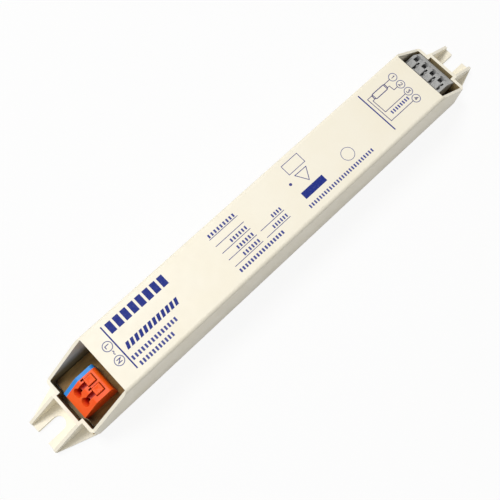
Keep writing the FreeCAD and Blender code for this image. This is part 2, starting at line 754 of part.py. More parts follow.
def choke_leads(x, half):
    """Four leads under the former's end flanges."""
    reach = half - FORMER_WALL / 2
    return [
        lead(x + dx, dy, BOARD_TOP + LEAD_ROOT)
        for dx in (-reach, reach)
        for dy in (-CHOKE_PIN_Y, CHOKE_PIN_Y)
    ]


def split_core(frame):
    """Cut a core across the middle of its length."""
    bounds = frame.BoundBox
    far = bounds.XMax + OVERSHOOT
    halves = []
    for end in (-far, far):
        halves.append(frame.common(box(0, end, bounds.YMin, bounds.YMax, bounds.ZMin, bounds.ZMax)))
    return halves


def moved(shapes, x):
    return [shape.translated(vec(x, 0, 0)) for shape in shapes]


def make_line_choke(x):
    """Two windings on one former, and a ring core made of two U halves."""
    axis_z = BOARD_TOP + LINE_FLANGE / 2
    half = LINE_COIL_HALF
    tube = LINE_LEG + 2 * CORE_CLEARANCE + 2 * LINE_TUBE_WALL
    bore = LINE_LEG + 2 * CORE_CLEARANCE
    walls = (-half, -FORMER_WALL / 2, half - FORMER_WALL)
    former = make_former(half, axis_z, (tube, tube), (bore, bore), (LINE_FLANGE, LINE_FLANGE), walls)
    coils = [
        make_winding(-half + FORMER_WALL, -FORMER_WALL / 2, axis_z, (tube, tube), (LINE_COIL, LINE_COIL)),
        make_winding(FORMER_WALL / 2, half - FORMER_WALL, axis_z, (tube, tube), (LINE_COIL, LINE_COIL)),
    ]
    inner = half + 2 * CORE_CLEARANCE
    outer = inner + LINE_YOKE
    window_top = axis_z + LINE_CORE_TOP
    frame = box(-outer, outer, -LINE_LEG / 2, LINE_LEG / 2, axis_z - LINE_LEG / 2, window_top + LINE_LEG)
    frame = frame.cut(box(-inner, inner, -LINE_LEG, LINE_LEG, axis_z + LINE_LEG / 2, window_top))
    former, coil_a, coil_b, core_a, core_b = moved([former] + coils + split_core(frame), x)
    return join([former] + choke_leads(x, half)), coil_a, coil_b, core_a, core_b


def make_lamp_choke(x):
    """Single winding on a former, and two E halves with a gap in the middle leg."""
    axis_z = BOARD_TOP + LAMP_FLANGE_HEIGHT / 2
    half = LAMP_COIL_HALF
    bore = (LAMP_LEG_WIDTH + 2 * CORE_CLEARANCE, LAMP_LEG_HEIGHT + 2 * CORE_CLEARANCE)
    tube = (bore[0] + 2 * LAMP_TUBE_WALL, bore[1] + 2 * LAMP_TUBE_WALL)
    flange = (LAMP_FLANGE_WIDTH, LAMP_FLANGE_HEIGHT)
    former = make_former(half, axis_z, tube, bore, flange, (-half, half - FORMER_WALL))
    coil = make_winding(
        -half + FORMER_WALL, half - FORMER_WALL, axis_z, tube, (LAMP_COIL_WIDTH, LAMP_COIL_HEIGHT)
    )
    low, high = axis_z - LAMP_LEG_HEIGHT / 2, axis_z + LAMP_LEG_HEIGHT / 2
    inner = half + 2 * CORE_CLEARANCE
    frame = block(0, 0, LAMP_CHOKE_LENGTH, 2 * LAMP_CORE_HALF, low, high)
    for y in (-1, 1):
        window_out = y * (LAMP_CORE_HALF - LAMP_OUTER_LEG)
        window_in = y * LAMP_LEG_WIDTH / 2
        frame = frame.cut(box(-inner, inner, window_in, window_out, low - OVERSHOOT, high + OVERSHOOT))
    frame = frame.cut(block(0, 0, LAMP_AIR_GAP, LAMP_LEG_WIDTH, low - OVERSHOOT, high + OVERSHOOT))
    former, coil, core_a, core_b = moved([former, coil] + split_core(frame), x)
    return join([former] + choke_leads(x, half)), coil, core_a, core_b


def make_smoothing_capacitor(middle):
    """Can lying along the board: sleeve, can, and seal with its bent leads."""
    lead_room = CAN_LEAD_REACH + LEAD_WIDTH / 2
    start_x = middle - (CAN_LENGTH + lead_room) / 2 + lead_room
    zc = BOARD_TOP + CAN_RADIUS + SLEEVE_WALL
    along = vec(1, 0, 0)

    def ring(start, length, outer, inner=0.0):
        place = vec(start_x + start, 0, zc)
        shape = Part.makeCylinder(outer, length, place, along)
        return shape.cut(Part.makeCylinder(inner, length, place, along)) if inner else shape

    can = ring(0, CAN_LENGTH, CAN_RADIUS).cut(
        [
            ring(GROOVE_START, GROOVE_WIDTH, CAN_RADIUS + OVERSHOOT, CAN_RADIUS - GROOVE_DEPTH),
            ring(0, SEAL_DEPTH, CAN_RADIUS - SEAL_RIM),
        ]
    )
    sleeve_length = CAN_LENGTH - SLEEVE_START - SLEEVE_SETBACK
    sleeve = ring(SLEEVE_START, sleeve_length, CAN_RADIUS + SLEEVE_WALL, CAN_RADIUS)
    pieces = [ring(0, SEAL_DEPTH, CAN_RADIUS - SEAL_RIM)]
    half = LEAD_WIDTH / 2
    for y in (-CAN_LEAD_SPAN / 2, CAN_LEAD_SPAN / 2):
        out = start_x - CAN_LEAD_REACH
        pieces.append(box(out - half, start_x + SEAL_DEPTH / 2, y - half, y + half, zc - half, zc + half))
        pieces.append(lead(out, y, zc))
    return can, sleeve, join(pieces)


def make_transistor(x, face):
    """Flat three-legged package that stands against the heat spreader."""
    start = face * SPREADER_THICKNESS / 2
    end = start + face * TRANSISTOR_THICKNESS
    low = BOARD_TOP + TRANSISTOR_LIFT
    half = TRANSISTOR_WIDTH / 2
    body = box(x - half, x + half, start, end, low, low + TRANSISTOR_HEIGHT)
    body = body.cut(
        Part.makeCylinder(
            TRANSISTOR_HOLE_RADIUS, TRANSISTOR_THICKNESS + 2 * OVERSHOOT,
            vec(x, start - face * OVERSHOOT, low + TRANSISTOR_HOLE_HEIGHT), vec(0, face, 0),
        )
    )
    middle = (start + end) / 2
    legs = [lead(x + i * TRANSISTOR_LEAD_PITCH, middle, low + LEAD_ROOT) for i in (-1, 0, 1)]
    return join([body] + legs)


def tag_places(x):
    return [x - SPREADER_TAG_SPAN / 2, x + SPREADER_TAG_SPAN / 2]


def make_heat_spreader(x):
    plate = block(x, 0, SPREADER_LENGTH, SPREADER_THICKNESS, BOARD_TOP, BOARD_TOP + SPREADER_HEIGHT)
    hole_z = BOARD_TOP + TRANSISTOR_LIFT + TRANSISTOR_HOLE_HEIGHT
    hole = Part.makeCylinder(
        TRANSISTOR_HOLE_RADIUS, SPREADER_THICKNESS + 2 * OVERSHOOT,
        vec(x, -SPREADER_THICKNESS / 2 - OVERSHOOT, hole_z), vec(0, 1, 0),
    )
    tags = [
        block(place, 0, SPREADER_TAG, SPREADER_THICKNESS, BOARD_UNDERSIDE - BOARD_CLEARANCE, BOARD_TOP)
        for place in tag_places(x)
    ]
    return join([plate.cut(hole)] + tags)


def make_spring_clip(x):
    """Steel clip over both transistors and the spreader."""
    reach = SPREADER_THICKNESS / 2 + TRANSISTOR_THICKNESS
    inside_top = BOARD_TOP + SPREADER_HEIGHT
    outer_half = reach + CLIP_THICKNESS
    outer_top = inside_top + CLIP_THICKNESS
    clip = block(x, 0, CLIP_WIDTH, 2 * outer_half, inside_top - CLIP_DROP, outer_top)
    clip = fillet_where(clip, CLIP_BEND, lambda a, b: along_x(a, b) and near(a.z, outer_top))
    low = inside_top - CLIP_DROP - OVERSHOOT
    return clip.cut(block(x, 0, CLIP_WIDTH + 2 * OVERSHOOT, 2 * reach, low, inside_top))


def make_board(spreader_x):
    half_x = LENGTH_TO_WALL - BOARD_END_CLEARANCE
    half_y = INNER_HALF - BOARD_CLEARANCE
    board = box(-half_x, half_x, -half_y, half_y, BOARD_UNDERSIDE, BOARD_TOP)
    low, high = BOARD_UNDERSIDE - OVERSHOOT, BOARD_TOP + OVERSHOOT
    size = LEAD_WIDTH + 2 * LEAD_CLEARANCE
    holes = [block(x, y, size, size, low, high) for x, y in LEADS]
    room = 2 * PIN_CLEARANCE
    for unit in (MAINS, LAMP):
        for y in unit.poles:
            for pin in unit.pins:
                holes.append(block(unit.side * pin, y, PIN_LENGTH + room, PIN_WIDTH + room, low, high))
    for place in tag_places(spreader_x):
        holes.append(block(place, 0, SPREADER_TAG + room, SPREADER_THICKNESS + room, low, high))
    return board.cut(holes)


def main():
    os.makedirs("parts", exist_ok=True)

    save("housing", make_housing())
    save("base_plate", make_base_plate())
    save("insulating_sheet", make_insulating_sheet())

    mains_high = MAINS.poles[0] + POLE_PITCH / 2 + PLATE_SIDE_WALL
    lamp_high = LAMP.poles[0] + POLE_PITCH / 2
    save("mains_terminal_body", make_terminal_body(MAINS, mains_high, False))
    end_plate = make_terminal_outline(MAINS, mains_high, mains_high + END_PLATE_THICKNESS)
    save("mains_terminal_end_plate", end_plate)
    save("lamp_terminal_body", make_terminal_body(LAMP, lamp_high, True))
    for unit in (MAINS, LAMP):
        for number, y in enumerate(unit.poles, 1):
            save("%s_release_button_%d" % (unit.name, number), make_button(unit, y))
            save("%s_clamp_spring_%d" % (unit.name, number), make_clamp_spring(unit, y))
            save("%s_contact_%d" % (unit.name, number), make_contact(unit, y))

    at = row_places()
    save("fuse", make_fuse(at["fuse"]))
    save("varistor", make_disc(at["fuse"], VARISTOR_RADIUS, VARISTOR_THICKNESS))

    former, coil_a, coil_b, core_a, core_b = make_line_choke(at["line_choke"])
    save("line_choke_former", former)
    save("line_choke_winding_1", coil_a)
    save("line_choke_winding_2", coil_b)
    save("line_choke_core_half_1", core_a)
    save("line_choke_core_half_2", core_b)

    suppression = make_film_capacitor(
        at["filter"], SUPPRESSION_LENGTH, SUPPRESSION_WIDTH, SUPPRESSION_HEIGHT
    )
    save("suppression_capacitor", suppression)
    rectifier_pitch = RECTIFIER_LENGTH - 2 * CASE_LEAD_INSET
    rectifier = make_flat_package(
        at["filter"], RECTIFIER_LENGTH, RECTIFIER_WIDTH, RECTIFIER_HEIGHT,
        RECTIFIER_COLUMNS, rectifier_pitch,
    )
    save("bridge_rectifier", rectifier)

    can, sleeve, seal = make_smoothing_capacitor(at["smoothing"])
    save("smoothing_capacitor_can", can)
    save("smoothing_capacitor_sleeve", sleeve)
    save("smoothing_capacitor_seal", seal)

    coupling = make_film_capacitor(at["driver"], COUPLING_LENGTH, COUPLING_WIDTH, COUPLING_HEIGHT)
    save("coupling_capacitor", coupling)
    chip = make_flat_package(
        at["driver"], CHIP_LENGTH, CHIP_WIDTH, CHIP_HEIGHT, CHIP_COLUMNS, PACKAGE_PITCH
    )
    save("driver_chip", chip)

    save("heat_spreader", make_heat_spreader(at["spreader"]))
    save("transistor_1", make_transistor(at["spreader"], 1))
    save("transistor_2", make_transistor(at["spreader"], -1))
    save("transistor_clip", make_spring_clip(at["spreader"]))

    former, coil, core_a, core_b = make_lamp_choke(at["lamp_choke"])
    save("lamp_choke_former", former)
    save("lamp_choke_winding", coil)
    save("lamp_choke_core_half_1", core_a)
    save("lamp_choke_core_half_2", core_b)

    resonant = make_film_capacitor(at["resonant"], RESONANT_LENGTH, RESONANT_WIDTH, RESONANT_HEIGHT)
    save("resonant_capacitor", resonant)
    save("preheat_thermistor", make_disc(at["resonant"], THERMISTOR_RADIUS, THERMISTOR_THICKNESS))

    save("circuit_board", make_board(at["spreader"]))


main()
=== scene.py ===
import math
import bmesh
import bpy
from mathutils import Matrix, Vector


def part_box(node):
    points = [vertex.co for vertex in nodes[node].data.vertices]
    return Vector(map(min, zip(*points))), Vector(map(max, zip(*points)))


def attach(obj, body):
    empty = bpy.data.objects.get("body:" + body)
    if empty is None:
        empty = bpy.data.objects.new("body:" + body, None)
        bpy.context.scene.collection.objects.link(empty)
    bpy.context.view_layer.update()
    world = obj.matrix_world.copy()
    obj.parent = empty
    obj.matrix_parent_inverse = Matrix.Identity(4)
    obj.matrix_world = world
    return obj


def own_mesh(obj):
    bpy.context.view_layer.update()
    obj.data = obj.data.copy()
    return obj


# Looks of a slim electronic lamp ballast: materials, the printed marks on its
# top, the floor, the lamps and the camera. Lengths are in metres; MM turns
# millimetres into metres.

MM = 0.001

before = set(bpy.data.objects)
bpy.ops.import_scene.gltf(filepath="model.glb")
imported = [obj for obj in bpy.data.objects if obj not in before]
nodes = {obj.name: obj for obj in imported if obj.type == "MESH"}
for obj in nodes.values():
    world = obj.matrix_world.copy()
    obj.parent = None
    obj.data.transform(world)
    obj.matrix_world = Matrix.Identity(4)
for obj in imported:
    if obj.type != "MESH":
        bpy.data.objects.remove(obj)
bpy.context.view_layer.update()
BODY = "ballast"

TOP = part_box("housing")[1].z


# Node material helpers


class Paint:
    """A node material under construction."""

    def __init__(self, name, colour, roughness, metallic=0.0):
        self.material = bpy.data.materials.new(name)
        self.material.use_nodes = True
        self.tree = self.material.node_tree
        self.shader = self.tree.nodes["Principled BSDF"]
        self.colour = (*colour, 1.0)
        self.shader.inputs["Base Color"].default_value = self.colour
        self.shader.inputs["Roughness"].default_value = roughness
        self.shader.inputs["Metallic"].default_value = metallic
        self.roughness = roughness
        self.place = self.node("TexCoord").outputs["Object"]

    def node(self, kind, **settings):
        made = self.tree.nodes.new("ShaderNode" + kind)
        for key, value in settings.items():
            setattr(made, key, value)
        return made

    def link(self, source, target):
        self.tree.links.new(source, target)

    def noise(self, size, detail=3.0, stretch=(1.0, 1.0, 1.0)):
        """Cloudy pattern whose features are about this many metres wide."""
        made = self.node("TexNoise")
        made.inputs["Scale"].default_value = 1.0 / size
        made.inputs["Detail"].default_value = detail
        place = self.place
        if stretch != (1.0, 1.0, 1.0):
            mapping = self.node("Mapping")
            mapping.inputs["Scale"].default_value = stretch
            self.link(self.place, mapping.inputs["Vector"])
            place = mapping.outputs["Vector"]
        self.link(place, made.inputs["Vector"])
        return made.outputs["Fac"]

    def cells(self, size):
        """Distance to the middle of grains about this many metres wide."""
        made = self.node("TexVoronoi")
        made.inputs["Scale"].default_value = 1.0 / size
        self.link(self.place, made.inputs["Vector"])
        return made.outputs["Distance"]

    def bands(self, size, axis, distortion=0.0):
        """Even ridges across an axis, this far apart."""
        made = self.node("TexWave", wave_type="BANDS", bands_direction=axis)
        made.inputs["Scale"].default_value = math.pi / (10.0 * size)
        made.inputs["Distortion"].default_value = distortion
        self.link(self.place, made.inputs["Vector"])
        return made.outputs["Fac"]

    def spread(self, value, low, high, to_low=0.0, to_high=1.0):
        """The value stretched from low..high to to_low..to_high, and held there."""
        made = self.node("MapRange")
        self.link(value, made.inputs["Value"])
        for key, number in (("From Min", low), ("From Max", high), ("To Min", to_low), ("To Max", to_high)):
            made.inputs[key].default_value = number
        return made.outputs["Result"]

    def tint(self, mask, colour):
        """Blend the base colour towards another one where the mask is high."""
        mix = self.node("Mix", data_type="RGBA")
        socket = self.shader.inputs["Base Color"]
        if socket.links:
            self.link(socket.links[0].from_socket, mix.inputs["A"])
        else:
            mix.inputs["A"].default_value = self.colour
        mix.inputs["B"].default_value = (*colour, 1.0)
        self.link(mask, mix.inputs["Factor"])
        self.link(mix.outputs["Result"], socket)

    def vary_roughness(self, value, amount):
        low, high = self.roughness - amount, self.roughness + amount
        self.link(self.spread(value, 0.3, 0.7, low, high), self.shader.inputs["Roughness"])

    def bump(self, height, depth, strength=1.0):
        """Add relief of this depth in metres on top of any that is there."""
        made = self.node("Bump")
        made.inputs["Distance"].default_value = depth
        made.inputs["Strength"].default_value = strength
        self.link(height, made.inputs["Height"])
        socket = self.shader.inputs["Normal"]
        if socket.links:
            self.link(socket.links[0].from_socket, made.inputs["Normal"])
        self.link(made.outputs["Normal"], socket)

    def soften_edges(self, radius):
        """Shade the sharp edges as if they had a small radius."""
        made = self.node("Bevel", samples=6)
        made.inputs["Radius"].default_value = radius
        self.link(made.outputs["Normal"], self.shader.inputs["Normal"])

    def edge_mask(self, radius):
        """High along edges, where handling rubs a moulding."""
        rounded = self.node("Bevel", samples=6)
        rounded.inputs["Radius"].default_value = radius
        geometry = self.node("NewGeometry")
        dot = self.node("VectorMath", operation="DOT_PRODUCT")
        self.link(rounded.outputs["Normal"], dot.inputs[0])
        self.link(geometry.outputs["Normal"], dot.inputs[1])
        return self.spread(dot.outputs["Value"], 0.985, 0.8)

    def product(self, first, second):
        """One mask times another."""
        made = self.node("Math", operation="MULTIPLY")
        self.link(first, made.inputs[0])
        self.link(second, made.inputs[1])
        return made.outputs["Value"]

    def recess_mask(self, reach, open_share=0.75, closed_share=0.25):
        """High in narrow gaps and holes, where little light gets in: a mask for painted shade."""
        made = self.node("AmbientOcclusion", samples=8)
        made.inputs["Distance"].default_value = reach
        return self.spread(made.outputs["AO"], open_share, closed_share)

    def between(self, axis, low, high, fade):
        """1 between two places along an axis, fading to 0 over a short way."""
        axes = self.node("SeparateXYZ")
        self.link(self.place, axes.inputs["Vector"])
        away = self.node("Math", operation="SUBTRACT")
        away.inputs[1].default_value = (low + high) / 2
        self.link(axes.outputs[axis], away.inputs[0])
        far = self.node("Math", operation="ABSOLUTE")
        self.link(away.outputs["Value"], far.inputs[0])
        half = (high - low) / 2
        return self.spread(far.outputs["Value"], half + fade, half)

    def upright_mask(self):
        """1 on walls, 0 on level faces."""
        geometry = self.node("NewGeometry")
        axes = self.node("SeparateXYZ")
        self.link(geometry.outputs["True Normal"], axes.inputs["Vector"])
        level = self.node("Math", operation="ABSOLUTE")
        self.link(axes.outputs["Z"], level.inputs[0])
        return self.spread(level.outputs["Value"], 0.6, 0.3)

    def not_facing_out(self, axis, low, high):
        """0 on faces that point away from the middle along an axis, 1 elsewhere.

        The mask falls to 0 as such a face lies from low to high out along the axis.
        """
        geometry = self.node("NewGeometry")
        facing = self.node("SeparateXYZ")
        self.link(geometry.outputs["True Normal"], facing.inputs["Vector"])
        axes = self.node("SeparateXYZ")
        self.link(self.place, axes.inputs["Vector"])
        return self.spread(self.product(facing.outputs[axis], axes.outputs[axis]), low, high, 1.0, 0.0)


# Materials


def moulded_plastic(name, colour, roughness, grain=0.35 * MM, grain_depth=0.008 * MM,
                    worn=None, worn_share=0.5, mottle=None, edge=0.12 * MM):
    """Injection-moulded plastic: fine grain, faint flow clouds, rubbed edges."""
    paint = Paint(name, colour, roughness)
    paint.soften_edges(edge)
    clouds = paint.noise(14 * MM, detail=4.0)
    if mottle:
        paint.tint(paint.spread(clouds, 0.35, 0.75), mottle)
    if worn:
        rub = paint.edge_mask(0.5 * MM)
        patchy = paint.spread(paint.noise(2.2 * MM), 0.35, 0.65, 0.0, worn_share)
        paint.tint(paint.product(rub, patchy), worn)
    paint.vary_roughness(paint.noise(3.0 * MM), 0.06)
    paint.bump(paint.noise(grain, detail=2.0), grain_depth)
    return paint


# Where the housing's inside lies, half sizes and heights, for the painted shade there
INNER_HALF_WIDTH = 9.58 * MM
INNER_HALF_LENGTH = 81.3 * MM
BELOW_ALL = -1.0 * MM         # lower than any part
# the painted shade inside the housing is full up to this height
DARK_UP_TO = 8.6 * MM         # full tint up to here
DARK_FADE = 5.5 * MM          # and none this much further up
# painted light: the painted shade inside is paler at this end, as if lit
LAMP_END = (66.0 * MM, 82.0 * MM)          # paler walls at this end, along X
BASE_PLATE_TOPS = (0.3 * MM, 3.2 * MM)     # its level faces lie between these heights
SHARP = 0.05 * MM             # fade that looks like a hard edge


def housing_plastic():
    ivory = (0.900, 0.845, 0.705)
    paint = moulded_plastic(
        "housing_ivory", ivory, 0.50,
        worn=(0.95, 0.93, 0.86), mottle=(0.880, 0.815, 0.655),
    )
    # painted shade inside the housing, tinted brown as if by light bounced off the board, most of all low
    # down by the board
    across = paint.between("Y", -INNER_HALF_WIDTH, INNER_HALF_WIDTH, SHARP)
    low_down = paint.between("Z", BELOW_ALL, DARK_UP_TO, DARK_FADE)
    along = paint.between("X", -INNER_HALF_LENGTH, INNER_HALF_LENGTH, SHARP)
    walls = paint.product(along, paint.upright_mask())
    inside = paint.product(paint.product(across, low_down), walls)
    inside = paint.product(inside, paint.not_facing_out("X", 20 * MM, 40 * MM))
    inside = paint.product(inside, paint.not_facing_out("Y", 3 * MM, 4 * MM))
    paint.tint(inside, (0.340, 0.225, 0.085))
    # painted light: paler painted shade on the inner walls at the lamp end, as if lit
    lamp_end = paint.between("X", *LAMP_END, SHARP)
    paint.tint(paint.product(inside, lamp_end), (0.560, 0.440, 0.230))
    # painted shade on the base plate's top, seen between a terminal and the end wall, tinted brown like the
    # board
    floor_height = paint.between("Z", *BASE_PLATE_TOPS, SHARP)
    level = paint.product(floor_height, paint.spread(paint.upright_mask(), 0.0, 1.0, 1.0, 0.0))
    paint.tint(paint.product(paint.product(across, along), level), (0.300, 0.200, 0.070))
    # long, faint flow marks from the mould gate
    paint.bump(paint.noise(9 * MM, stretch=(0.2, 1.0, 1.0)), 0.02 * MM, 0.5)
    return paint.material


def terminal_plastic(name, colour, worn, mottle, painted_shade):
    paint = moulded_plastic(
        name, colour, 0.45, grain=0.22 * MM, grain_depth=0.004 * MM, worn=worn, mottle=mottle
    )
    # painted shade: darker in gaps and holes, towards the last colour given
    paint.tint(paint.recess_mask(3.5 * MM, 0.80, 0.35), painted_shade)
    paint.shader.inputs["Specular IOR Level"].default_value = 0.3
    return paint.material


def dull_plastic(name, colour, roughness=0.45):
    return moulded_plastic(
        name, colour, roughness, worn=tuple(min(1.0, c + 0.1) for c in colour)
    ).material


def laminate():
    """Brown paper laminate with faint fibres."""
    paint = Paint("board_laminate", (0.430, 0.250, 0.080), 0.42)
    fibres = paint.noise(1.2 * MM, stretch=(0.25, 1.0, 1.0))
    paint.tint(paint.spread(fibres, 0.35, 0.7), (0.30, 0.165, 0.050))
    # painted shade: near black in gaps and under parts, where little light gets in
    paint.tint(paint.recess_mask(5.0 * MM, 0.55, 0.25), (0.030, 0.015, 0.005))
    paint.shader.inputs["Specular IOR Level"].default_value = 0.08
    paint.vary_roughness(paint.noise(2.0 * MM), 0.08)
    paint.bump(paint.noise(0.4 * MM, stretch=(0.3, 1.0, 1.0)), 0.01 * MM)
    return paint.material


def insulating_paper():
    paint = Paint("insulating_paper", (0.60, 0.56, 0.42), 0.75)
    paint.tint(paint.noise(0.5 * MM), (0.50, 0.46, 0.33))
    paint.vary_roughness(paint.noise(1.5 * MM), 0.08)
    paint.bump(paint.noise(0.25 * MM), 0.02 * MM)
    return paint.material


def metal(name, colour, roughness, brushed=(1.0, 8.0, 8.0)):
    """Sheet or drawn metal with fine rolling lines and dull patches."""
    paint = Paint(name, colour, roughness, metallic=1.0)
    paint.soften_edges(0.05 * MM)
    lines = paint.noise(0.8 * MM, stretch=brushed)
    paint.tint(paint.spread(paint.noise(2.5 * MM), 0.4, 0.8, 0.0, 0.5), tuple(0.75 * c for c in colour))
    paint.vary_roughness(lines, 0.09)
    paint.bump(lines, 0.004 * MM)
    return paint.material


def winding_wire():
    """Lacquered copper wire in even turns round the X axis."""
    paint = Paint("winding_wire", (0.62, 0.22, 0.07), 0.28, metallic=0.85)
    turns = paint.bands(0.35 * MM, "X", distortion=0.4)
    # painted shade in the grooves between the turns
    paint.tint(paint.spread(turns, 0.0, 0.4, 0.8, 0.0), (0.20, 0.05, 0.02))
    paint.vary_roughness(paint.noise(1.0 * MM), 0.08)
    paint.bump(turns, 0.12 * MM)
    return paint.material


def ferrite():
    paint = Paint("ferrite", (0.055, 0.055, 0.060), 0.62)
    paint.soften_edges(0.08 * MM)
    paint.tint(paint.spread(paint.cells(0.25 * MM), 0.0, 0.35, 0.6, 0.0), (0.12, 0.12, 0.13))
    paint.vary_roughness(paint.noise(0.8 * MM), 0.12)
    paint.bump(paint.cells(0.3 * MM), 0.02 * MM)
    return paint.material


def lacquer(name, colour, roughness=0.3):
    """Dipped coating with runs and orange-peel."""
    paint = Paint(name, colour, roughness)
    paint.soften_edges(0.3 * MM)
    paint.tint(paint.spread(paint.noise(1.8 * MM), 0.4, 0.8), tuple(0.7 * c for c in colour))
    paint.vary_roughness(paint.noise(1.0 * MM), 0.08)
    paint.bump(paint.noise(0.9 * MM), 0.05 * MM)
    return paint.material


STRIPE_MIDDLE = -3.2 * MM     # place of the sleeve's stripe along Y
STRIPE_HALF_WIDTH = 1.1 * MM


def capacitor_sleeve():
    """Dark shrink sleeve with one pale stripe along it."""
    paint = Paint("capacitor_sleeve", (0.020, 0.028, 0.070), 0.30)
    axes = paint.node("SeparateXYZ")
    paint.link(paint.place, axes.inputs["Vector"])
    inside = paint.node("Math", operation="COMPARE")
    inside.inputs[1].default_value = STRIPE_MIDDLE
    inside.inputs[2].default_value = STRIPE_HALF_WIDTH
    paint.link(axes.outputs["Y"], inside.inputs[0])
    paint.tint(inside.outputs["Value"], (0.55, 0.58, 0.62))
    paint.vary_roughness(paint.noise(2.0 * MM), 0.06)
    paint.bump(paint.noise(1.5 * MM, stretch=(0.3, 1.0, 1.0)), 0.03 * MM)
    return paint.material


def ink(name, colour, roughness=0.55):
    """Pad-printed ink, a little uneven."""
    paint = Paint(name, colour, roughness)
    thin_patches = paint.spread(paint.noise(0.6 * MM), 0.50, 0.80, 0.0, 0.12)
    paint.tint(thin_patches, tuple(0.3 + 0.7 * c for c in colour))
    paint.vary_roughness(paint.noise(0.8 * MM), 0.08)
    paint.bump(paint.noise(0.2 * MM), 0.003 * MM)
    paint.shader.inputs["Specular IOR Level"].default_value = 0.15
    return paint.material


def dress(material, *names):
    for name in names:
        slots = nodes[name].data.materials
        slots.clear()
        slots.append(material)


def like(*parts):
    """Names of the nodes that contain any of these words."""
    return [name for name in nodes if any(part in name for part in parts)]


# the last colour of each terminal plastic is the painted shade in its gaps and holes
orange = terminal_plastic(
    "orange_plastic", (1.0, 0.125, 0.006), (1.0, 0.20, 0.03), (0.94, 0.085, 0.004),
    (0.520, 0.009, 0.001),
)
grey = terminal_plastic(
    "grey_plastic", (0.42, 0.42, 0.41), (0.56, 0.56, 0.55), (0.37, 0.37, 0.36), (0.015, 0.015, 0.015)
)
blue = terminal_plastic(
    "blue_plastic", (0.028, 0.290, 0.800), (0.18, 0.48, 0.88), (0.022, 0.250, 0.720), (0.004, 0.060, 0.240)
)
ivory = housing_plastic()

dress(ivory, "housing", "base_plate")
dress(orange, "mains_terminal_body", *like("mains_release_button"))
dress(blue, "mains_terminal_end_plate")
dress(grey, "lamp_terminal_body", *like("lamp_release_button"))
dress(laminate(), "circuit_board")
dress(insulating_paper(), "insulating_sheet")
dress(metal("spring_steel", (0.50, 0.49, 0.47), 0.30), "transistor_clip", *like("clamp_spring"))
dress(metal("tinned_copper", (0.62, 0.60, 0.55), 0.34), *like("_contact_"))
dress(metal("can_aluminium", (0.70, 0.70, 0.71), 0.35), "smoothing_capacitor_can")
dress(metal("spreader_aluminium", (0.62, 0.62, 0.63), 0.42), "heat_spreader")
dress(
    dull_plastic("black_plastic", (0.018, 0.018, 0.020)),
    "fuse", "bridge_rectifier", "driver_chip", "transistor_1", "transistor_2",
)
dress(dull_plastic("former_plastic", (0.045, 0.043, 0.040)), *like("_former"))
dress(winding_wire(), *like("_winding"))
dress(ferrite(), *like("_core_half_"))
dress(lacquer("blue_lacquer", (0.030, 0.080, 0.300)), "varistor")
dress(lacquer("black_lacquer", (0.025, 0.025, 0.025)), "preheat_thermistor")
dress(dull_plastic("yellow_case", (0.70, 0.42, 0.03), 0.35), "suppression_capacitor")
dress(lacquer("red_lacquer", (0.260, 0.030, 0.015)), "coupling_capacitor", "resonant_capacitor")
dress(capacitor_sleeve(), "smoothing_capacitor_sleeve")
dress(dull_plastic("seal_rubber", (0.020, 0.020, 0.020), 0.7), "smoothing_capacitor_seal")


# Clamp springs: each one gets a mesh of its own


def follow_button(spring):
    """Give the spring a mesh of its own."""
    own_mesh(nodes[spring])


for name in like("clamp_spring"):
    follow_button(name)


# Printed marks on the top: thin flat shapes, lengths in millimetres

INK_HEIGHT = 0.012      # how far the ink stands on the plastic
INK_ROOT = 0.03         # how far its solid reaches into the plastic


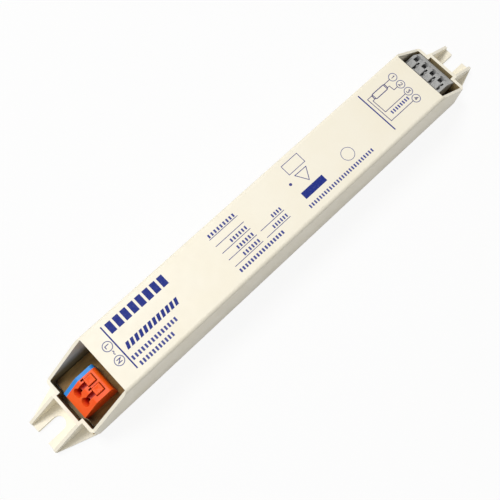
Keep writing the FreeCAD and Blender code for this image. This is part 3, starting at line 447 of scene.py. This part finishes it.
class Print:
    """Flat marks that share one ink, gathered into one mesh."""

    def __init__(self, name, material):
        self.name = name
        self.material = material
        self.mesh = bmesh.new()

    def face(self, points):
        """One closed outline, as a thin solid in the top's skin."""
        low = [self.mesh.verts.new((x * MM, y * MM, TOP - INK_ROOT * MM)) for x, y in points]
        high = [self.mesh.verts.new((x * MM, y * MM, TOP + INK_HEIGHT * MM)) for x, y in points]
        self.mesh.faces.new(high)
        self.mesh.faces.new(low[::-1])
        count = len(points)
        for i in range(count):
            j = (i + 1) % count
            self.mesh.faces.new((low[i], low[j], high[j], high[i]))

    def line(self, points, width, closed=False):
        """A line of even width through the points, with mitred corners."""
        spots = [Vector(p) for p in points]
        count = len(spots)
        left, right = [], []
        for i, spot in enumerate(spots):
            before = spots[i - 1] if i or closed else None
            after = spots[(i + 1) % count] if i < count - 1 or closed else None
            into = (spot - before).normalized() if before is not None else None
            out = (after - spot).normalized() if after is not None else None
            into = into or out
            out = out or into
            way = (into + out).normalized()
            side = Vector((-way.y, way.x)) * (width / 2 / max(0.3, way.dot(into)))
            left.append(spot + side)
            right.append(spot - side)
        for i in range(count if closed else count - 1):
            j = (i + 1) % count
            self.face([right[i], right[j], left[j], left[i]])

    def ring(self, x, y, radius, width, parts=28):
        turn = 2 * math.pi / parts
        spots = [(x + radius * math.cos(i * turn), y + radius * math.sin(i * turn)) for i in range(parts)]
        self.line(spots, width, closed=True)

    def dot(self, x, y, radius, parts=16):
        turn = 2 * math.pi / parts
        self.face([(x + radius * math.cos(i * turn), y + radius * math.sin(i * turn)) for i in range(parts)])

    def block(self, x0, y0, x1, y1):
        self.face([(x0, y0), (x1, y0), (x1, y1), (x0, y1)])

    def finish(self):
        data = bpy.data.meshes.new(self.name)
        bmesh.ops.recalc_face_normals(self.mesh, faces=self.mesh.faces)
        self.mesh.to_mesh(data)
        self.mesh.free()
        data.materials.append(self.material)
        piece = bpy.data.objects.new(self.name, data)
        bpy.context.scene.collection.objects.link(piece)
        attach(piece, BODY)

    def row(self, x0, x1, y0, y1, count, share=0.7, slant=0.0):
        """Even blocks along X that fill this share of the row."""
        pitch = (x1 - x0) / (count - 1 + share)
        for i in range(count):
            left = x0 + i * pitch
            right = left + pitch * share
            self.face([(left, y0), (right, y0), (right + slant, y1), (left + slant, y1)])

    def sign(self, x, y, strokes, size, width):
        """A sign that reads towards -Y, with its head towards +X."""
        for stroke in strokes:
            self.line([(x + v * size, y - u * size) for u, v in stroke], width)


# Strokes of the signs, one unit high, across and up from the middle
SIGNS = {
    "L": [[(-0.30, 0.50), (-0.30, -0.50), (0.34, -0.50)]],
    "N": [[(-0.36, -0.50), (-0.36, 0.50), (0.36, -0.50), (0.36, 0.50)]],
    "wave": [
        [(-0.50, -0.10), (-0.34, 0.12), (-0.12, 0.14), (0.12, -0.14), (0.34, -0.12), (0.50, 0.10)],
    ],
    "1": [[(-0.22, 0.28), (0.04, 0.50), (0.04, -0.50)]],
    "2": [
        [(-0.34, 0.28), (-0.20, 0.48), (0.16, 0.48), (0.33, 0.26), (0.24, -0.02), (-0.34, -0.50),
         (0.36, -0.50)],
    ],
    "3": [
        [(-0.32, 0.50), (0.32, 0.50), (-0.02, 0.10), (0.24, 0.02), (0.33, -0.22), (0.18, -0.48),
         (-0.16, -0.48), (-0.34, -0.30)],
    ],
    "4": [[(0.16, -0.50), (0.16, 0.50), (-0.36, -0.18), (0.38, -0.18)]],
}

blue_ink = ink("print_blue", (0.010, 0.024, 0.215))
line_ink = ink("print_line", (0.060, 0.064, 0.240))
dark_line_ink = ink("print_dark_line", (0.062, 0.056, 0.185))
ring_ink = ink("print_ring", (0.160, 0.170, 0.320))
pale_ink = ink("print_pale", (0.052, 0.066, 0.275))

BAR_WIDTH = 0.42
TABLE_LINE_WIDTH = 0.21
WIRE_WIDTH = 0.23

bars = Print("print_bars", blue_ink)
bars.line([(-59.09, 8.3), (-59.02, -7.33)], BAR_WIDTH)
bars.line([(46.03, 8.58), (46.24, -7.15)], BAR_WIDTH)
bars.row(-57.9, -36.6, 4.6, 8.1, 8, 0.72)
bars.row(-57.6, -38.6, -1.8, 0.3, 12, 0.66, 0.7)
bars.block(10.11, -4.45, 18.95, -2.0)
bars.finish()

small_marks = Print("print_small_marks", line_ink)
small_marks.sign(-61.11, 2.85, SIGNS["L"], 1.35, 0.26)
small_marks.sign(-60.95, 0.35, SIGNS["wave"], 1.30, 0.24)
small_marks.sign(-61.26, -2.36, SIGNS["N"], 1.35, 0.26)
for y in (5.95, 3.27, 0.47, -2.26, -4.95):
    small_marks.line([(-19.6, y), (-8.35, y)], TABLE_LINE_WIDTH)
for y in (-2.25, -4.96):
    small_marks.line([(-6.8, y), (2.85, y)], TABLE_LINE_WIDTH)
small_marks.line([(11.83, 4.5), (18.37, 4.5), (18.37, 8.1), (11.83, 8.1)], TABLE_LINE_WIDTH, closed=True)
small_marks.line([(17.43, 3.15), (15.14, -0.64), (12.84, 3.25)], 0.24, closed=True)
small_marks.dot(9.9, 2.09, 0.5)
small_marks.finish()

rows = Print("print_rows", pale_ink)
rows.row(-58.3, -42.0, -5.1, -3.7, 14, 0.55)
rows.row(-57.6, -45.4, -7.7, -6.3, 11, 0.55)
rows.row(-19.2, -9.0, 6.3, 7.5, 9, 0.5)
rows.row(-15.2, -9.0, 1.0, 2.2, 6, 0.5)
rows.row(-15.2, -9.0, -1.8, -0.6, 6, 0.5)
rows.row(-15.2, -9.0, -4.5, -3.3, 6, 0.5)
rows.row(-1.2, 2.4, -1.8, -0.6, 4, 0.5)
rows.row(-3.2, 2.4, -4.5, -3.3, 6, 0.5)
rows.row(-19.4, -2.0, -7.5, -6.3, 16, 0.55)
rows.row(9.1, 36.2, -7.5, -6.3, 26, 0.5)
rows.row(49.6, 57.2, -3.1, -1.9, 8, 0.5)
rows.finish()

POLE_MARK_X = 58.88
POLE_MARKS = ((5.69, "1"), (2.29, "2"), (-1.02, "3"), (-4.35, "4"))
RING_WIDTH = 0.26
rings = Print("print_rings", ring_ink)
rings.ring(-61.15, 2.85, 1.45, RING_WIDTH)
rings.ring(-61.25, -2.36, 1.45, RING_WIDTH)
for y, number in POLE_MARKS:
    rings.ring(POLE_MARK_X, y, 1.35, RING_WIDTH)
rings.ring(29.65, -2.72, 2.15, 0.20)
rings.finish()

diagram = Print("print_lamp_diagram", dark_line_ink)
for y, number in POLE_MARKS:
    diagram.sign(POLE_MARK_X, y, SIGNS[number], 1.20, 0.24)
diagram.line([(57.62, 5.80), (54.89, 5.80)], WIRE_WIDTH)
diagram.line([(57.62, 2.38), (55.92, 2.38), (55.82, 4.30), (55.05, 4.30)], WIRE_WIDTH)
diagram.line([(57.54, -1.0), (48.40, -1.0), (48.26, 4.20), (49.16, 4.30)], WIRE_WIDTH)
diagram.line([(57.70, -4.32), (47.53, -4.32), (47.29, 5.68), (49.33, 5.72)], WIRE_WIDTH)
diagram.line(
    [(54.62, 5.94), (49.83, 5.96), (49.25, 5.62), (49.18, 4.42), (49.86, 3.94), (54.38, 3.94),
     (55.00, 4.30), (55.04, 5.62)],
    0.30, closed=True,
)
for x in (49.62, 54.62):
    diagram.line([(x, 5.70), (x, 4.20)], 0.24)
diagram.finish()


# Floor, lamps and camera

CAMERA_PLACE = Vector((-58.19, -42.36, 220.54)) * MM
CAMERA_TARGET = Vector((-13.04, -4.24, 21.50)) * MM
CAMERA_ROLL = math.radians(44.88)
FOCAL_PIXELS = 715.8
FRAME_PIXELS = 500
SENSOR_WIDTH = 36.0


def make_camera():
    ahead = (CAMERA_TARGET - CAMERA_PLACE).normalized()
    north = Vector((0, 1, 0))
    level_up = (north - ahead * north.dot(ahead)).normalized()
    level_right = ahead.cross(level_up)
    up = level_up * math.cos(CAMERA_ROLL) + level_right * math.sin(CAMERA_ROLL)
    right = ahead.cross(up)
    data = bpy.data.cameras.new("camera")
    data.sensor_width = SENSOR_WIDTH
    data.lens = FOCAL_PIXELS / FRAME_PIXELS * SENSOR_WIDTH
    data.clip_start = 0.005
    camera = bpy.data.objects.new("camera", data)
    turn = Matrix((right, up, -ahead)).transposed()
    camera.matrix_world = Matrix.Translation(CAMERA_PLACE) @ turn.to_4x4()
    bpy.context.scene.collection.objects.link(camera)
    bpy.context.scene.camera = camera


def make_lamp(name, place, size, level):
    """Square soft lamp that lights a surface facing it to this level."""
    place = Vector(place)
    data = bpy.data.lights.new(name, "AREA")
    data.size = size
    data.energy = level * math.pi ** 2 * place.length_squared
    lamp = bpy.data.objects.new(name, data)
    turn = (-place).to_track_quat("-Z", "Y").to_matrix()
    lamp.matrix_world = Matrix.Translation(place) @ turn.to_4x4()
    bpy.context.scene.collection.objects.link(lamp)


def seen_directly(tree):
    """1 for camera, glossy and see-through rays, 0 for the light that bounces."""
    path = tree.nodes.new("ShaderNodeLightPath")
    total = path.outputs["Is Camera Ray"]
    for other in ("Is Glossy Ray", "Is Transmission Ray"):
        add = tree.nodes.new("ShaderNodeMath")
        add.operation = "MAXIMUM"
        tree.links.new(total, add.inputs[0])
        tree.links.new(path.outputs[other], add.inputs[1])
        total = add.outputs["Value"]
    return total


def make_floor():
    half = 3.0
    data = bpy.data.meshes.new("floor")
    corners = [(-half, -half, 0), (half, -half, 0), (half, half, 0), (-half, half, 0)]
    data.from_pydata(corners, [], [(0, 1, 2, 3)])
    floor = bpy.data.objects.new("floor", data)
    bpy.context.scene.collection.objects.link(floor)
    material = bpy.data.materials.new("floor_white")
    material.use_nodes = True
    tree = material.node_tree
    shader = tree.nodes["Principled BSDF"]
    shader.inputs["Base Color"].default_value = (0.80, 0.80, 0.79, 1.0)
    shader.inputs["Roughness"].default_value = 0.9
    shader.inputs["Specular IOR Level"].default_value = 0.1
    glow = tree.nodes.new("ShaderNodeEmission")
    glow.inputs["Color"].default_value = (1.0, 1.0, 1.0, 1.0)
    share = tree.nodes.new("ShaderNodeMath")
    share.operation = "MULTIPLY"
    share.inputs[1].default_value = 0.90
    tree.links.new(seen_directly(tree), share.inputs[0])
    mix = tree.nodes.new("ShaderNodeMixShader")
    tree.links.new(share.outputs["Value"], mix.inputs["Fac"])
    tree.links.new(shader.outputs["BSDF"], mix.inputs[1])
    tree.links.new(glow.outputs["Emission"], mix.inputs[2])
    tree.links.new(mix.outputs["Shader"], tree.nodes["Material Output"].inputs["Surface"])
    data.materials.append(material)


def make_world():
    world = bpy.data.worlds.new("studio")
    world.use_nodes = True
    tree = world.node_tree
    background = tree.nodes["Background"]
    background.inputs["Color"].default_value = (1.0, 1.0, 1.0, 1.0)
    level = tree.nodes.new("ShaderNodeMapRange")
    level.inputs["To Min"].default_value = 0.33
    level.inputs["To Max"].default_value = 1.0
    tree.links.new(seen_directly(tree), level.inputs["Value"])
    tree.links.new(level.outputs["Result"], background.inputs["Strength"])
    bpy.context.scene.world = world


make_floor()
make_world()
make_lamp("key", (-0.10, 0.36, 0.88), 0.32, 0.66)
make_lamp("fill", (-0.50, -0.05, 0.70), 0.60, 0.10)
make_camera()
bpy.context.scene.view_settings.view_transform = "Standard"
